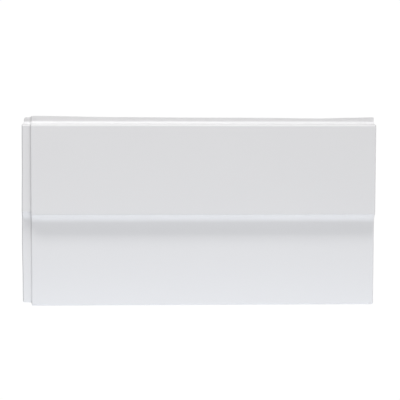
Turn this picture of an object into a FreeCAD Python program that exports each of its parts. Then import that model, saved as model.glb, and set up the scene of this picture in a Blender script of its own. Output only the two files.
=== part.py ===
"""Bath panel formed from one sheet, lying face up on its turned-back edges.

X runs along the panel, Y from the floor edge up to the lip, Z out of the face. Millimetres.
"""
import math
import os

import FreeCAD
import Part

V = FreeCAD.Vector

# Sheet and overall sizes
sheet = 3.0
length = 1000.0
face_height = 515.0
depth = 38.0

# Inside radius of each bend; the outside of a bend is one sheet larger
ledge_bend = 4.0
ledge_root_bend = 9.0
step_bend = 1.5
step_root_bend = 20.0
bottom_bend = 2.0
end_bend = 1.0
strip_bend = 1.0

# Step across the face, and the slope of its wall and of the ledge
step_height = 258.5
step_depth = 19.0
step_draft = 15.0
ledge_draft = 4.0

# Lip edge cut by hand: height above the ledge at parts of its length from the joggle
lip_heights = [
    (0.0, 20.0),
    (0.27, 16.8),
    (0.5, 15.8),
    (0.63, 15.8),
    (0.84, 14.3),
    (0.94, 16.4),
    (1.0, 17.9),
]
strip_lip_height = 16.0
lip_left_trim = 6.5
lip_right_trim = 3.0
lip_left_radius = 7.0
lip_right_radius = 2.5

# Strip set back along the left-hand end, which goes behind the next panel
strip_width = 28.0
strip_upper_back = 5.5
strip_lower_back = 3.5
strip_step_rise = 8.5
strip_bottom_rise = 9.0
strip_corner_radius = 4.0
lap_clearance = 0.5
joggle_edge_radius = 0.8
joggle_root_radius = 2.4

# Sizes that follow
left = -length / 2
right = length / 2
joggle_x = left + strip_width
lap = sheet + lap_clearance
lip_z = sheet + lap
lower_z = depth - step_depth
ledge_foot = face_height + (depth - lip_z) * math.tan(math.radians(ledge_draft))
strip_upper_z = depth - strip_upper_back
strip_lower_z = lower_z - strip_lower_back
strip_step = step_height + strip_step_rise
clear = 2 * sheet
lip_stock = ledge_foot + max(height for part, height in lip_heights) + clear


def rounded(corners):
    """Closed outline across the panel through (y, z, radius) corners."""
    spots = [V(0, y, z) for y, z, radius in corners]
    bends = []
    for i, (y, z, radius) in enumerate(corners):
        back = (spots[i - 1] - spots[i]).normalize()
        ahead = (spots[(i + 1) % len(spots)] - spots[i]).normalize()
        half = back.getAngle(ahead) / 2
        reach = radius / math.tan(half)
        middle = (back + ahead).normalize() * (radius / math.sin(half) - radius)
        bends.append((spots[i] + back * reach, spots[i] + middle, spots[i] + ahead * reach))
    edges = []
    for i, (start, middle, end) in enumerate(bends):
        if corners[i][2] > 0:
            edges.append(Part.Arc(start, middle, end).toShape())
        edges.append(Part.makeLine(end, bends[(i + 1) % len(bends)][0]))
    return Part.Wire(edges)


def inset(corners):
    """Outline of the hollow behind the sheet, open at the back and at the lip's edge."""
    steps = [-clear, -clear] + [sheet] * (len(corners) - 2)
    normals = []
    for i, (y, z, radius) in enumerate(corners):
        next_y, next_z, next_radius = corners[(i + 1) % len(corners)]
        run = math.hypot(next_y - y, next_z - z)
        normals.append(((z - next_z) / run, (next_y - y) / run))
    moved = []
    for i, (y, z, radius) in enumerate(corners):
        a_y, a_z = normals[i - 1]
        b_y, b_z = normals[i]
        turn = a_y * b_z - a_z * b_y
        move_y = (steps[i - 1] * b_z - steps[i] * a_z) / turn
        move_z = (steps[i] * a_y - steps[i - 1] * b_y) / turn
        bend = 0.0
        if radius > 0:
            bend = max(radius - math.copysign(sheet, turn), 0.0)
        moved.append((y + move_y, z + move_z, bend))
    return moved


def step_corners(top_y, top_z, foot_z):
    """Edge and root of the step, with bends that its wall has room for."""
    slope = math.radians(step_draft)
    wall = (top_z - foot_z) / math.cos(slope)
    edge = step_bend + sheet
    taken = (edge + step_root_bend) * math.tan((math.pi / 2 - slope) / 2)
    share = min(1.0, 0.98 * wall / taken)
    foot_y = top_y - (top_z - foot_z) * math.tan(slope)
    return [(top_y, top_z, edge * share), (foot_y, foot_z, step_root_bend * share)]


def block(corners, start, end):
    """The outline drawn out along the panel from start to end."""
    solid = Part.Face(rounded(corners)).extrude(V(end - start, 0, 0))
    solid.translate(V(start, 0, 0))
    return solid


def end_edges(solid, x):
    """Edges of the end at x that lie on the sheet's face, without the open sides."""
    box = solid.optimalBoundingBox()
    edges = []
    for edge in solid.Edges:
        spot = edge.CenterOfMass
        if abs(spot.x - x) < 0.001 and spot.z > box.ZMin + 0.01 and spot.y < box.YMax - 0.01:
            edges.append(edge)
    return edges


main_corners = [
    (0, 0, 0),
    (lip_stock, 0, 0),
    (lip_stock, lip_z, 0),
    (ledge_foot, lip_z, ledge_root_bend),
    (face_height, depth, ledge_bend + sheet),
    *step_corners(step_height, depth, lower_z),
    (0, lower_z, bottom_bend + sheet),
]
strip_corners = [
    (strip_bottom_rise, 0, 0),
    (lip_stock, 0, 0),
    (lip_stock, sheet, 0),
    (ledge_foot - lap, sheet, ledge_root_bend),
    (face_height - lap, strip_upper_z, strip_bend + sheet),
    *step_corners(strip_step, strip_upper_z, strip_lower_z),
    (strip_bottom_rise, strip_lower_z, strip_bend + sheet),
]

# Outside of the formed shape, with the joggle between panel and strip
outer = block(main_corners, joggle_x, right)
outer = outer.makeFillet(end_bend + sheet, end_edges(outer, right))
outer = outer.makeFillet(joggle_edge_radius, end_edges(outer, joggle_x))
outer = outer.fuse(block(strip_corners, left, joggle_x)).removeSplitter()
strip_line = rounded(strip_corners)
strip_line.translate(V(joggle_x, 0, 0))
root_edges = []
for edge in end_edges(outer, joggle_x):
    middle = edge.valueAt((edge.FirstParameter + edge.LastParameter) / 2)
    if strip_line.distToShape(Part.Vertex(middle))[0] < 0.001:
        root_edges.append(edge)
root_radius = min(joggle_root_radius, 0.9 * (lap - joggle_edge_radius))
outer = outer.makeFillet(root_radius, root_edges)

# Hollow behind the sheet
inner = block(inset(main_corners), joggle_x + sheet, right - sheet)
inner = inner.makeFillet(end_bend, end_edges(inner, right - sheet))
inner = inner.fuse(block(inset(strip_corners), left - clear, joggle_x + sheet)).removeSplitter()
formed = outer.cut(inner)

# Line along which the formed sheet is cut
lip_left = left + lip_left_trim
lip_right = right - lip_right_trim
wave_left = lip_left + lip_left_radius
wave_right = lip_right - lip_right_radius
wave = []
for part, height in lip_heights:
    wave.append(V(joggle_x + part * (wave_right - joggle_x), ledge_foot + height, 0))
lip_edge = Part.BSplineCurve()
lip_edge.interpolate(wave)
strip_ledge = ledge_foot - lap
corner_x = left + strip_corner_radius
corner_y = strip_bottom_rise + strip_corner_radius
strip_lip_y = ledge_foot + strip_lip_height
left_y = strip_lip_y - lip_left_radius
right_y = wave[-1].y - lip_right_radius
up = V(0, 0, 1)
cut_line = [
    Part.makePolygon([
        V(corner_x, strip_bottom_rise, 0),
        V(corner_x, -clear, 0),
        V(right + clear, -clear, 0),
        V(right + clear, ledge_foot, 0),
        V(lip_right, ledge_foot, 0),
        V(lip_right, right_y, 0),
    ]),
    Part.makeCircle(lip_right_radius, V(wave_right, right_y, 0), up, 0, 90),
    lip_edge.toShape(),
    Part.makePolygon([wave[0], V(joggle_x, strip_lip_y, 0), V(wave_left, strip_lip_y, 0)]),
    Part.makeCircle(lip_left_radius, V(wave_left, left_y, 0), up, 90, 180),
    Part.makePolygon([
        V(lip_left, left_y, 0),
        V(lip_left, strip_ledge, 0),
        V(left, strip_ledge, 0),
        V(left, corner_y, 0),
    ]),
    Part.makeCircle(strip_corner_radius, V(corner_x, corner_y, 0), up, 180, 270),
]
cut_edges = [edge for piece in cut_line for edge in piece.Edges]
kept = Part.Face(Part.Wire(Part.__sortEdges__(cut_edges))).extrude(V(0, 0, depth + 2 * clear))
kept.translate(V(0, 0, -clear))
panel = formed.common(kept).Solids[0]

# Middle of the panel on the floor
box = panel.optimalBoundingBox()
panel.translate(V(-(box.XMin + box.XMax) / 2, -(box.YMin + box.YMax) / 2, -box.ZMin))

os.makedirs("parts", exist_ok=True)
panel.exportStep("parts/bath_panel.step")
box = panel.optimalBoundingBox()
print("bath_panel", round(panel.Volume), "mm3", panel.isValid())
print("size", round(box.XLength, 2), round(box.YLength, 2), round(box.ZLength, 2))
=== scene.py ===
# %% [markdown]
# # A bath panel formed from one acrylic sheet
#
# The real panel starts as a flat white sheet. It is warmed until it is soft, drawn over a
# mould, cooled and trimmed with a saw. That leaves a stepped face, edges turned back towards
# the wall, a lip that tucks under the rim of the bath, and a strip at one end, set back by a
# little more than the sheet's thickness, that goes behind the next panel.
#
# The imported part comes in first, because it fixes the place and the size of all that follows.

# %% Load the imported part
import math

import bmesh
import bpy
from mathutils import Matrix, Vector


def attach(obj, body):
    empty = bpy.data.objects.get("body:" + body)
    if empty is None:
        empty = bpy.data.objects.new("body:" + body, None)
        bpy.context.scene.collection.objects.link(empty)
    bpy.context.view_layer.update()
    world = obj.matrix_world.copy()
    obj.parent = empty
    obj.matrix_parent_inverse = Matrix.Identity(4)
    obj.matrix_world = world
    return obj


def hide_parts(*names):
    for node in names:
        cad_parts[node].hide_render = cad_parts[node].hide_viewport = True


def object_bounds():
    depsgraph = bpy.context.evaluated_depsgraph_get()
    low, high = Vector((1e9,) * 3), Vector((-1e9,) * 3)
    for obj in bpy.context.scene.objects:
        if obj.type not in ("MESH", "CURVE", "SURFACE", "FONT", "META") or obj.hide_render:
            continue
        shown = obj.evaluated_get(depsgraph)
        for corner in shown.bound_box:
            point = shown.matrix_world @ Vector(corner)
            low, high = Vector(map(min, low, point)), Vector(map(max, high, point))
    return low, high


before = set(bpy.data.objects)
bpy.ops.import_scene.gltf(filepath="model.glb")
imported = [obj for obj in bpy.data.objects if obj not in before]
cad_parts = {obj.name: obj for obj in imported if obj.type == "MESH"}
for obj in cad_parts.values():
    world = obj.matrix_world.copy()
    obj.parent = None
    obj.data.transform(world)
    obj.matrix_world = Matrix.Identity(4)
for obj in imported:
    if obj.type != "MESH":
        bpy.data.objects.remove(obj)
cad_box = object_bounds()
print("part from", [round(v, 4) for v in cad_box[0]], "to", [round(v, 4) for v in cad_box[1]])

# %% [markdown]
# ## The camera
#
# The panel lies flat and the picture looks down on it from high above, so the camera is far
# away with a long lens. A short lens close by would also fill the picture, but it would make
# the near edge wider than the far one. The small tilt shows the ledge along the top.

# %% Camera high above the panel
camera_place = (-0.244, 0.4137, 4.5294)
camera_tilt = (-4.844, -3.111, 0.212)
film_width = 36
long_lens = 144.1
bpy.ops.object.select_all(action="DESELECT")
bpy.ops.object.camera_add(
    location=camera_place,
    rotation=[math.radians(turn) for turn in camera_tilt],
)
camera = bpy.context.object
camera.name = "view_from_above"
camera.data.sensor_width = film_width
camera.data.lens = long_lens
bpy.context.scene.camera = camera
print("camera", [round(v, 3) for v in camera.location], "lens", camera.data.lens)

# %% [markdown]
# ## The floor and the light
#
# The panel lies on white paper that is lit on its own, so that no shadow greys it. Here the
# paper gives off its own light, just enough to be white. It is kept from lighting the panel,
# because a paper that bright would wash out the ledge. It lies half a millimetre low, so that
# it shares no plane with the sawn edges.
#
# Three lights shape the panel. The sky is white, brighter in front and high on the right, and
# dim at the sides and below the floor, so edges that look sideways stay dark. A wide lamp low
# behind the top edge brightens the ledge and throws the soft shadow under the step. A weaker
# lamp in front lights the bottom of the face.

# %% White paper floor
def plain_material(name):
    """A new material and its shader node."""
    material = bpy.data.materials.new(name)
    material.use_nodes = True
    return material, material.node_tree.nodes["Principled BSDF"]


mm = 0.001
floor_size = 14
floor_drop = 0.5 * mm
bpy.ops.object.select_all(action="DESELECT")
bpy.ops.mesh.primitive_plane_add(size=floor_size, location=(0, 0, -floor_drop))
floor = bpy.context.object
floor.name = "paper_floor"
paper, shader = plain_material("white_paper")
shader.inputs["Base Color"].default_value = (0.02, 0.02, 0.02, 1)
shader.inputs["Roughness"].default_value = 0.9
shader.inputs["Specular IOR Level"].default_value = 0.0
shader.inputs["Emission Color"].default_value = (1, 1, 1, 1)
shader.inputs["Emission Strength"].default_value = 1.0
floor.data.materials.append(paper)
floor.visible_diffuse = False
floor.visible_glossy = False
print("floor", floor.dimensions.x, "m wide")

# %% White sky, dim at the sides and below
sky_light = 0.656
under_light = 0.12
horizon_band = 0.1
front_share = 0.46
left_level, high_level, right_level = 0.25, 1.56, 0.16
high_place = 0.75
scene = bpy.context.scene
scene.view_settings.view_transform = "Standard"
sky = bpy.data.worlds.new("white_sky")
sky.use_nodes = True
nodes, links = sky.node_tree.nodes, sky.node_tree.links
where = nodes.new("ShaderNodeTexCoord")
parts = nodes.new("ShaderNodeSeparateXYZ")
links.new(where.outputs["Generated"], parts.inputs["Vector"])


def ramp(axis, start, end, low, high):
    """A level of the sky that changes evenly along one axis."""
    node = nodes.new("ShaderNodeMapRange")
    node.inputs["From Min"].default_value = start
    node.inputs["From Max"].default_value = end
    node.inputs["To Min"].default_value = low
    node.inputs["To Max"].default_value = high
    links.new(parts.outputs[axis], node.inputs["Value"])
    return node.outputs["Result"]


light = ramp("Z", -horizon_band, 0, under_light, sky_light)
for level in (
    ramp("Y", -1, 1, 1 + front_share, 1 - front_share),
    ramp("X", -1, high_place, left_level, high_level),
    ramp("X", high_place, 1, 1, right_level / high_level),
):
    both = nodes.new("ShaderNodeMath")
    both.operation = "MULTIPLY"
    links.new(light, both.inputs[0])
    links.new(level, both.inputs[1])
    light = both.outputs["Value"]
links.new(light, nodes["Background"].inputs["Strength"])
nodes["Background"].inputs["Color"].default_value = (1, 1, 1, 1)
scene.world = sky
print("sky", sky_light, "and", under_light, "below the floor")

# %% Two lamps
def wide_lamp(name, place, aim, width, height, power, colour):
    """A rectangular lamp at a place, turned to face the aim."""
    turn = (Vector(aim) - Vector(place)).to_track_quat("-Z", "Y").to_euler()
    bpy.ops.object.light_add(type="AREA", location=place, rotation=turn)
    lamp = bpy.context.object
    lamp.name = name
    lamp.data.shape = "RECTANGLE"
    lamp.data.size = width
    lamp.data.size_y = height
    lamp.data.energy = power
    lamp.data.color = colour
    print(name, power, "W at", place)


wide_lamp(
    "lamp_behind_top",
    place=(-0.8, 4.6, 1.24),
    aim=(-0.8, 0, 0.03),
    width=4.4,
    height=0.66,
    power=168,
    colour=(1, 1, 1),
)
wide_lamp(
    "lamp_in_front",
    place=(0, -0.6, 0.32),
    aim=(0, 0, 0.03),
    width=2.2,
    height=0.2,
    power=2.6,
    colour=(0.79, 0.88, 1),
)

# %% [markdown]
# ## The section lines
#
# Cut across anywhere, the panel is one bent line: the edge turned back at the floor, the lower
# face, the step, the upper face, the ledge and the lip. Just above the step the face falls by a
# millimetre, as a drawn sheet does near a bend, and that draws a thin dark line there. The foot
# of the step is two bends, a tight one and a wide one, because a sheet spans the hollow corner
# of a mould. The strip at the left-hand end has the same line, a little smaller.
#
# A line could be drawn as a curve and made a mesh. A list of corners is easier to read and to
# change, so each line is one: distance up the face and height off the floor, in millimetres.
# Each corner between the two ends has the radius of its bend.

# %% Corners of the two section lines
face_line = [
    (0, 0),  # sawn edge on the floor
    (0, 19),  # bottom of the lower face
    (244.26, 19),  # foot of the step, wide bend
    (255.83, 28.04),  # foot of the step, tight bend
    (258.125, 36.6),  # edge of the step
    (263, 38),  # where the fall above the step starts
    (515, 38),  # edge of the ledge
    (517.098, 8),  # foot of the ledge
    (535, 7.3),  # edge of the lip before it is sawn
]
face_bends = [5, 24, 16, 4.5, 8, 7, 9]
strip_line = [
    (9, 0),
    (9, 15.5),
    (251.4, 15.5),
    (264.99, 25),
    (266.946, 32.3),
    (272, 32.5),
    (513, 32.5),
    (515.021, 3.6),
    (535, 3),
]
strip_bends = [4, 28, 12, 4.1, 40, 4, 9]
# Numbers of the corners that later steps start from
fall_start, ledge_edge, ledge_foot, lip_edge = 5, 6, 7, 8
print(len(face_line), "corners and", len(face_bends), "bends in each line")

# %% [markdown]
# ## The sheet, drawn out edge by edge
#
# Each part starts as a flat plane, which is its upper face. Its two long edges are then
# extruded from corner to corner, as a sheet is folded. One could also draw the line first and
# extrude it along the panel, but starting with a face keeps all the faces the same way round.

# %% Helpers that pick by place
near = 0.02 * mm


def pick_edges(test):
    """Select the edges of the mesh in hand that pass the test."""
    bpy.ops.mesh.select_mode(type="EDGE")
    bpy.ops.mesh.select_all(action="DESELECT")
    mesh = bmesh.from_edit_mesh(bpy.context.object.data)
    picked = [edge for edge in mesh.edges if test(edge)]
    for edge in picked:
        edge.select_set(True)
    bmesh.update_edit_mesh(bpy.context.object.data)
    return len(picked)


def pick_points(test):
    """Select the points of the mesh in hand whose places pass the test."""
    bpy.ops.mesh.select_mode(type="VERT")
    bpy.ops.mesh.select_all(action="DESELECT")
    mesh = bmesh.from_edit_mesh(bpy.context.object.data)
    picked = [point for point in mesh.verts if test(point.co)]
    for point in picked:
        point.select_set(True)
    mesh.select_flush(True)
    bmesh.update_edit_mesh(bpy.context.object.data)
    return len(picked)


def both_ends(edge, test):
    """True if the places of both ends of an edge pass the test."""
    return all(test(end.co) for end in edge.verts)


print("two places are the same within", near / mm, "mm")

# %% Helpers that fold a sheet
floor_edge = cad_box[0].y


def place(corner):
    """A corner of a section line as a point of the scene."""
    return Vector((0, floor_edge + corner[0] * mm, corner[1] * mm))


def along(edge, corner):
    """True for an edge that runs along the panel at a corner of a section line."""
    at = place(corner)
    return both_ends(edge, lambda spot: math.hypot(spot.y - at.y, spot.z - at.z) < near)


def extrude(move):
    """Extrude what is selected and move the new edges."""
    bpy.ops.mesh.extrude_region_move(TRANSFORM_OT_translate={"value": move})


def draw_out(corners):
    """Extrude the edge at the first corner of a list to each of the others in turn."""
    pick_edges(lambda edge: along(edge, corners[0]))
    for start, end in zip(corners, corners[1:]):
        extrude(place(end) - place(start))


def draw_sheet(name, line, start, end):
    """A flat sheet folded along a section line, between two places along the panel."""
    low, high = place(line[fall_start]), place(line[ledge_edge])
    middle = ((start + end) / 2, (low.y + high.y) / 2, low.z)
    bpy.ops.object.select_all(action="DESELECT")
    bpy.ops.mesh.primitive_plane_add(size=1, location=middle)
    bpy.ops.transform.resize(value=(end - start, high.y - low.y, 1))
    bpy.ops.object.transform_apply(location=True, rotation=False, scale=True)
    sheet = bpy.context.object
    sheet.name = name
    bpy.ops.object.mode_set(mode="EDIT")
    draw_out(line[ledge_edge:])
    draw_out(line[fall_start::-1])
    bpy.ops.object.mode_set(mode="OBJECT")
    print(name, len(sheet.data.polygons), "faces,", [round(v, 4) for v in sheet.dimensions])
    return sheet


# %% Face and strip
left = cad_box[0].x
right = cad_box[1].x
strip_width = 28 * mm
joggle = left + strip_width
joggle_slope = 2.4 * mm
joggle_root = joggle - joggle_slope
roll = 4 * mm
roll_start = right - roll
strip = draw_sheet("strip", strip_line, left, joggle_root)
panel = draw_sheet("panel_sheet", face_line, joggle, roll_start)
strip.select_set(True)
bpy.ops.object.join()
bpy.ops.object.mode_set(mode="EDIT")

# %% [markdown]
# ## The bends
#
# A warm sheet can't fold sharply: it bends round the mould. A bevel of several steps turns a
# fold into a bend. The bevel is measured from the corner to where the bend starts, so the
# radius is turned into that length first.

# %% Round each corner
bend_steps = 8
same_finish = -1


def round_off(reach, steps, finish=same_finish):
    """Bevel the selected edges to a round, in a number of steps."""
    bpy.ops.mesh.bevel(
        offset=reach,
        segments=steps,
        profile=0.5,
        affect="EDGES",
        clamp_overlap=False,
        material=finish,
    )


def bend_corner(line, number, radius):
    """Turn the fold at one corner of a section line into a bend."""
    corner = place(line[number])
    back = place(line[number - 1]) - corner
    ahead = place(line[number + 1]) - corner
    reach = radius * mm / math.tan(back.angle(ahead) / 2)
    count = pick_edges(lambda edge: along(edge, line[number]))
    round_off(reach, bend_steps)
    print("corner", number, "radius", radius, "mm,", count, "edges, reach", round(reach / mm, 2))


for line, bends in ((face_line, face_bends), (strip_line, strip_bends)):
    for number, radius in enumerate(bends, start=1):
        bend_corner(line, number, radius)

# %% [markdown]
# ## The joggle
#
# Makers call the sideways shift between face and strip a joggle. Its wall leans a little, so
# that the sheet comes off the mould. Both lines now have the same number of points, so the
# open ends can be bridged, point to point. Before that the long flat parts are divided, so
# that the bridge and the later steps meet points at even distances.

# %% Divide the long faces and bridge the gap
long_rise = 0.2
cuts_across = 11
long_run = 0.5
cuts_along = 47


def span(edge):
    """How far an edge runs along each axis."""
    move = edge.verts[1].co - edge.verts[0].co
    return Vector((abs(move.x), abs(move.y), abs(move.z)))


def in_gap(spot):
    """True for a place on the open ends of face and strip, which face each other."""
    return joggle_root - near < spot.x < joggle + near


pick_edges(lambda edge: span(edge).y > long_rise)
bpy.ops.mesh.subdivide(number_cuts=cuts_across)
pick_edges(lambda edge: span(edge).x < near and both_ends(edge, in_gap))
bpy.ops.mesh.bridge_edge_loops()
pick_edges(lambda edge: span(edge).x > long_run)
bpy.ops.mesh.subdivide(number_cuts=cuts_along)
print(len(bmesh.from_edit_mesh(panel.data).faces), "faces after the bridge")

# %% [markdown]
# ## The turned-back end
#
# At the right-hand end the sheet turns back to the wall. The open edge is extruded in small
# steps and drawn in a little more each time, which makes a round end that follows the whole
# section. The last edge is then closed with one flat wall that goes down to the floor.

# %% Roll the right-hand end
roll_steps = 6
ledge_end = place((517, 15.9))
ledge_reach = 12 * mm


def on_end(spot):
    """True for a place on the open end of the face, above the foot of the ledge."""
    at_foot = spot.y > ledge_end.y - ledge_reach and spot.z < ledge_end.z
    return abs(spot.x - roll_start) < near and not at_foot


count = pick_edges(lambda edge: both_ends(edge, on_end))
for step in range(roll_steps):
    before, after = (math.radians(90 * part / roll_steps) for part in (step, step + 1))
    outward = roll * (math.sin(after) - math.sin(before))
    inward = roll * (math.cos(before) - math.cos(after))
    extrude((outward, 0, 0))
    bpy.ops.transform.shrink_fatten(value=-inward, use_even_offset=True)
print("rolled", count, "edges")

# %% Close the end with a wall
roll_end_low, roll_end_high = 15.6 * mm, 17.1 * mm


def on_roll_end(spot):
    """True for a place where the roll stops on the ledge."""
    on_ledge = spot.x > roll_start - near and spot.y > ledge_end.y - ledge_reach
    return on_ledge and roll_end_low < spot.z < roll_end_high


def lay_flat():
    """Bring what is selected to the height of the floor."""
    bpy.ops.transform.resize(value=(1, 1, 0), center_override=(0, 0, 0))


pick_edges(lambda edge: both_ends(edge, on_roll_end))
extrude((0, 0, -roll_end_low))
lay_flat()
pick_points(lambda spot: spot.x > right - near and spot.z < near)
bpy.ops.mesh.edge_face_add()
count = pick_edges(lambda edge: both_ends(edge, lambda spot: spot.x > right - near))
bpy.ops.mesh.edge_face_add()
print("end wall with", count, "edges")

# %% [markdown]
# ## The trimmed edges
#
# The lip and the strip's end are trimmed with a hand-held saw, so their edges wander by a few
# millimetres. The lip also stops short of both ends, and its corners are rounded, as is the
# foot of the strip. The lip's right-hand end is drawn out to its place first. The lip is cut
# into columns near its corners, each column's top is moved to the saw line, and then the
# strip's end is moved row by row in the same way.

# %% Draw out the lip's end
lip_right = right - 3 * mm
lip_foot = place(face_line[ledge_foot]).y
foot_margin = 1 * mm


def on_lip_end(spot):
    """True for a place on the open right-hand end of the lip."""
    return abs(spot.x - roll_start) < near and spot.y > lip_foot + foot_margin


pick_edges(lambda edge: both_ends(edge, on_lip_end))
extrude((lip_right - roll_start, 0, 0))
print("lip ends", round((right - lip_right) / mm, 1), "mm from the right")

# %% Columns near the corners
lip_left = left + 6.5 * mm
strip_root = place(strip_line[ledge_foot]).y
root_margin = 0.7 * mm
left_columns = [lip_left] + [left + inset * mm for inset in (6.9, 8, 10, 13.5, 20)]
right_columns = [right - inset * mm for inset in (3.2, 3.9, 5.5)]
for columns, low in ((left_columns, strip_root - root_margin), (right_columns, lip_foot)):
    for x in columns:
        pick_points(lambda spot: spot.y > low)
        bpy.ops.mesh.bisect(plane_co=(x, 0, 0), plane_no=(1, 0, 0))
    print("lip cut at", [round(x, 4) for x in columns])

# %% Take the lip off the strip's outer end
mesh = bmesh.from_edit_mesh(panel.data)
bpy.ops.mesh.select_mode(type="FACE")
bpy.ops.mesh.select_all(action="DESELECT")
count = 0
for face in mesh.faces:
    middle = face.calc_center_median()
    if middle.x < lip_left and middle.y > strip_root:
        face.select_set(True)
        count += 1
bmesh.update_edit_mesh(panel.data)
bpy.ops.mesh.delete(type="FACE")
print("trimmed", count, "faces")

# %% Heights of the saw line above the foot of the lip
lip_left_radius = 7 * mm
lip_right_radius = 2.5 * mm
wave_left = lip_left + lip_left_radius
wave_right = lip_right - lip_right_radius
# Part of the length from the joggle, and millimetres above the foot of the lip
saw_heights = [
    (0.0, 20.0),
    (0.27, 16.8),
    (0.5, 15.8),
    (0.63, 15.8),
    (0.84, 14.3),
    (0.94, 16.4),
    (1.0, 17.9),
]
strip_lip_height = 16 * mm


def eased(spots, at):
    """Value between listed spots, eased at each of them."""
    after = next(number for number in range(1, len(spots)) if at <= spots[number][0])
    (start, low), (end, high) = spots[after - 1], spots[after]
    part = (at - start) / (end - start)
    return low + (high - low) * part * part * (3 - 2 * part)


def corner_drop(distance, radius):
    """How far a rounded corner falls at a distance past its start."""
    return radius - math.sqrt(max(radius**2 - max(distance, 0) ** 2, 0))


def saw_line(x):
    """Place of the lip's edge up the panel, with its rounded corners."""
    if x < joggle - near:
        return lip_foot + strip_lip_height - corner_drop(wave_left - x, lip_left_radius)
    part = min(max((x - joggle) / (wave_right - joggle), 0), 1)
    return lip_foot + eased(saw_heights, part) * mm - corner_drop(x - wave_right, lip_right_radius)


print("saw line from", round(saw_line(lip_left), 4), "to", round(saw_line(lip_right), 4))

# %% Saw the lip
lip_top = place(face_line[lip_edge]).y
mesh = bmesh.from_edit_mesh(panel.data)
columns = sorted({round(point.co.x, 6) for point in mesh.verts if point.co.y > lip_top - near})
for x in columns:
    pick_points(lambda spot: abs(spot.x - x) < near and abs(spot.y - lip_top) < near)
    bpy.ops.transform.translate(value=(0, saw_line(x) - lip_top, 0))
print("saw line moved in", len(columns), "columns")

# %% Saw the strip's end and round its foot
foot_radius = 4 * mm
foot_centre = place(strip_line[0]).y + foot_radius
# Millimetres up the panel, and millimetres inwards
end_wander = [(0, 2.0), (72, 1.4), (187, 0.0), (300, 0.9), (387, 1.8), (540, 1.9)]
same_row = near / 10
mesh = bmesh.from_edit_mesh(panel.data)
rows = sorted({round(point.co.y, 7) for point in mesh.verts if point.co.x < left + near})
for y in rows:
    pick_points(lambda spot: spot.x < left + near and abs(spot.y - y) < same_row)
    wander = eased(end_wander, (y - floor_edge) / mm) * mm
    bpy.ops.transform.translate(value=(wander + corner_drop(foot_centre - y, foot_radius), 0, 0))
print("end of the strip moved in", len(rows), "rows")

# %% [markdown]
# ## The thickness of the sheet
#
# So far the panel is only its front surface. Doubles are merged and the faces are turned
# outwards, and then Solidify adds 3 mm behind. The saw-cut edge and the back get materials of
# their own, because the back of a formed sheet is duller than its front. The three materials
# must be on the sheet before it is thickened, or all the new faces would take the first.

# %% One material each for front, back and saw cut
gloss, gloss_shader = plain_material("gloss_white_acrylic")
satin, satin_shader = plain_material("satin_back")
sawn, sawn_shader = plain_material("sawn_edge")
finishes = (gloss, satin, sawn)
front_finish, back_finish, cut_finish = range(len(finishes))
for finish in finishes:
    panel.data.materials.append(finish)
print("finishes", [finish.name for finish in panel.data.materials])

# %% Merge, turn outwards and thicken
sheet_thickness = 3 * mm
bpy.ops.mesh.select_mode(type="VERT")
bpy.ops.mesh.select_all(action="SELECT")
bpy.ops.mesh.remove_doubles(threshold=near)
bpy.ops.mesh.normals_make_consistent(inside=False)
bpy.ops.object.mode_set(mode="OBJECT")
upper = max(panel.data.polygons, key=lambda face: face.center.z)
if upper.normal.z < 0:
    panel.data.flip_normals()
thicken = panel.modifiers.new("thickness", "SOLIDIFY")
thicken.thickness = sheet_thickness
thicken.offset = -1
thicken.use_even_offset = True
thicken.use_quality_normals = True
thicken.material_offset = back_finish
thicken.material_offset_rim = cut_finish
bpy.ops.object.modifier_apply(modifier=thicken.name)
kinds = [face.material_index for face in panel.data.polygons]
print("faces at the front, back and saw cut", [kinds.count(n) for n in range(len(finishes))])

# %% [markdown]
# ## Softer edges
#
# The joggle is pressed into the sheet, so on the front its edge is crisp and its root is round.
# The end of the strip is eased with a file, to slide behind the next panel. This comes after
# the thickness: a bend tighter than the sheet would fold the back over itself. Points that the
# thickness has brought together in the corners are merged first. All the other sharp edges,
# most of them sawn, lose a hair's breadth, as a scraper leaves them.

# %% Merge what the thickness brought together
touching = 0.01 * mm
bpy.ops.object.mode_set(mode="EDIT")
bpy.ops.mesh.select_all(action="SELECT")
bpy.ops.mesh.remove_doubles(threshold=touching)
print(len(bmesh.from_edit_mesh(panel.data).verts), "points after the merge")

# %% Round the joggle on the front
edge_bend, root_bend = 0.7 * mm, 2.2 * mm
soft_steps = 5


def on_front(edge, x):
    """True for an edge on the front of the sheet that runs across it at x."""
    if not both_ends(edge, lambda spot: abs(spot.x - x) < near):
        return False
    return all(face.material_index == front_finish for face in edge.link_faces)


for title, x, reach in (("edge", joggle, edge_bend), ("root", joggle_root, root_bend)):
    count = pick_edges(lambda edge: on_front(edge, x))
    round_off(reach, soft_steps)
    print("joggle", title, count, "edges")

# %% Ease the end of the strip
end_ease = 2.7 * mm
end_zone = 6.2 * mm


def on_strip_end(edge):
    """True for an edge between the front and the saw cut at the strip's end."""
    if sorted(face.material_index for face in edge.link_faces) != [front_finish, cut_finish]:
        return False
    return both_ends(edge, lambda spot: spot.x < left + end_zone)


count = pick_edges(on_strip_end)
round_off(end_ease, soft_steps, cut_finish)
pick_points(lambda spot: spot.z < near)
lay_flat()
bpy.ops.object.mode_set(mode="OBJECT")
print("strip end eased along", count, "edges")

# %% Scrape the sharp edges and smooth the rest
sharp_angle = math.radians(60)
smooth_angle = math.radians(40)
scrape = panel.modifiers.new("scraped_edges", "BEVEL")
scrape.width = 0.3 * mm
scrape.segments = 2
scrape.limit_method = "ANGLE"
scrape.angle_limit = sharp_angle
bpy.ops.object.modifier_apply(modifier=scrape.name)
bpy.ops.object.shade_smooth_by_angle(angle=smooth_angle)
even = panel.modifiers.new("even_shading", "WEIGHTED_NORMAL")
even.keep_sharp = True
bpy.ops.object.modifier_apply(modifier=even.name)
print("panel", len(panel.data.polygons), "faces")

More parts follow.
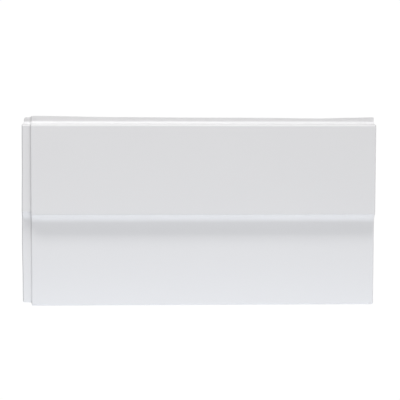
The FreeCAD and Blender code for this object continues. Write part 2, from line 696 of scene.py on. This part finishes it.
# %% [markdown]
# ## The finishes
#
# Cast acrylic is white all through, with a deep gloss on the front. A warmed sheet is never
# quite flat: its surface has long shallow waves and a very fine ripple, which only the
# reflections show. Both go into the bump, and the gloss varies a little, where hands and
# packing have rubbed it. The back is duller and has a fine grain from the mould, and the saw
# leaves its cut rough. The patterns could be painted on, but noise in object coordinates needs
# no picture and stays on the sheet from every side.

# %% Patterns that stay on the sheet
noise_low, noise_high = 0.3, 0.7


def sheet_noise(material, scale, detail):
    """A noise pattern in object coordinates."""
    nodes, links = material.node_tree.nodes, material.node_tree.links
    where = nodes.new("ShaderNodeTexCoord")
    noise = nodes.new("ShaderNodeTexNoise")
    noise.inputs["Scale"].default_value = scale
    noise.inputs["Detail"].default_value = detail
    links.new(where.outputs["Object"], noise.inputs["Vector"])
    return noise


def spread(material, noise, low, high):
    """Map a noise pattern to a range of values."""
    step = material.node_tree.nodes.new("ShaderNodeMapRange")
    step.inputs["From Min"].default_value = noise_low
    step.inputs["From Max"].default_value = noise_high
    step.inputs["To Min"].default_value = low
    step.inputs["To Max"].default_value = high
    material.node_tree.links.new(noise.outputs["Fac"], step.inputs["Value"])
    return step


def tint(material, noise, one, other):
    """Mix two near colours by a noise pattern."""
    mix = material.node_tree.nodes.new("ShaderNodeMix")
    mix.data_type = "RGBA"
    mix.inputs["A"].default_value = (*one, 1)
    mix.inputs["B"].default_value = (*other, 1)
    material.node_tree.links.new(noise.outputs["Fac"], mix.inputs["Factor"])
    return mix


def bump(material, noise, height, below=None):
    """Bump from a noise pattern, on top of another bump if there is one."""
    node = material.node_tree.nodes.new("ShaderNodeBump")
    node.inputs["Strength"].default_value = 1.0
    node.inputs["Distance"].default_value = height
    material.node_tree.links.new(noise.outputs["Fac"], node.inputs["Height"])
    if below:
        material.node_tree.links.new(below.outputs["Normal"], node.inputs["Normal"])
    return node


print("most of the noise lies between", noise_low, "and", noise_high)

# %% Join a finish to its shader
acrylic_ior = 1.49


def dress(material, shader, colour, surface):
    """Join colour and surface to the shader of an acrylic finish."""
    links = material.node_tree.links
    links.new(colour.outputs["Result"], shader.inputs["Base Color"])
    links.new(surface.outputs["Normal"], shader.inputs["Normal"])
    shader.inputs["IOR"].default_value = acrylic_ior
    print(material.name, len(material.node_tree.nodes), "nodes")


print("acrylic bends light by", acrylic_ior)

# %% Gloss front
colour = tint(
    gloss,
    sheet_noise(gloss, scale=6, detail=2),
    one=(0.817, 0.812, 0.822),
    other=(0.832, 0.827, 0.834),
)
rubbed = spread(gloss, sheet_noise(gloss, scale=25, detail=4), low=0.34, high=0.42)
gloss.node_tree.links.new(rubbed.outputs["Result"], gloss_shader.inputs["Roughness"])
waves = bump(gloss, sheet_noise(gloss, scale=9, detail=1), height=0.4 * mm)
ripple = bump(gloss, sheet_noise(gloss, scale=180, detail=2), height=0.006 * mm, below=waves)
dress(gloss, gloss_shader, colour, ripple)

# %% Satin back
colour = tint(
    satin,
    sheet_noise(satin, scale=14, detail=4),
    one=(0.76, 0.76, 0.765),
    other=(0.82, 0.82, 0.82),
)
dull = spread(satin, sheet_noise(satin, scale=60, detail=4), low=0.42, high=0.58)
satin.node_tree.links.new(dull.outputs["Result"], satin_shader.inputs["Roughness"])
grain = bump(satin, sheet_noise(satin, scale=700, detail=3), height=0.05 * mm)
dress(satin, satin_shader, colour, grain)

# %% Sawn edge
colour = tint(
    sawn,
    sheet_noise(sawn, scale=300, detail=3),
    one=(0.68, 0.68, 0.685),
    other=(0.76, 0.76, 0.765),
)
sawn_shader.inputs["Roughness"].default_value = 0.6
teeth = bump(sawn, sheet_noise(sawn, scale=1400, detail=2), height=0.08 * mm)
dress(sawn, sawn_shader, colour, teeth)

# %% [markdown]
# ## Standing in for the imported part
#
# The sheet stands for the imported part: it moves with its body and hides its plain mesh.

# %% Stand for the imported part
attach(panel, "root")
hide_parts("bath_panel")
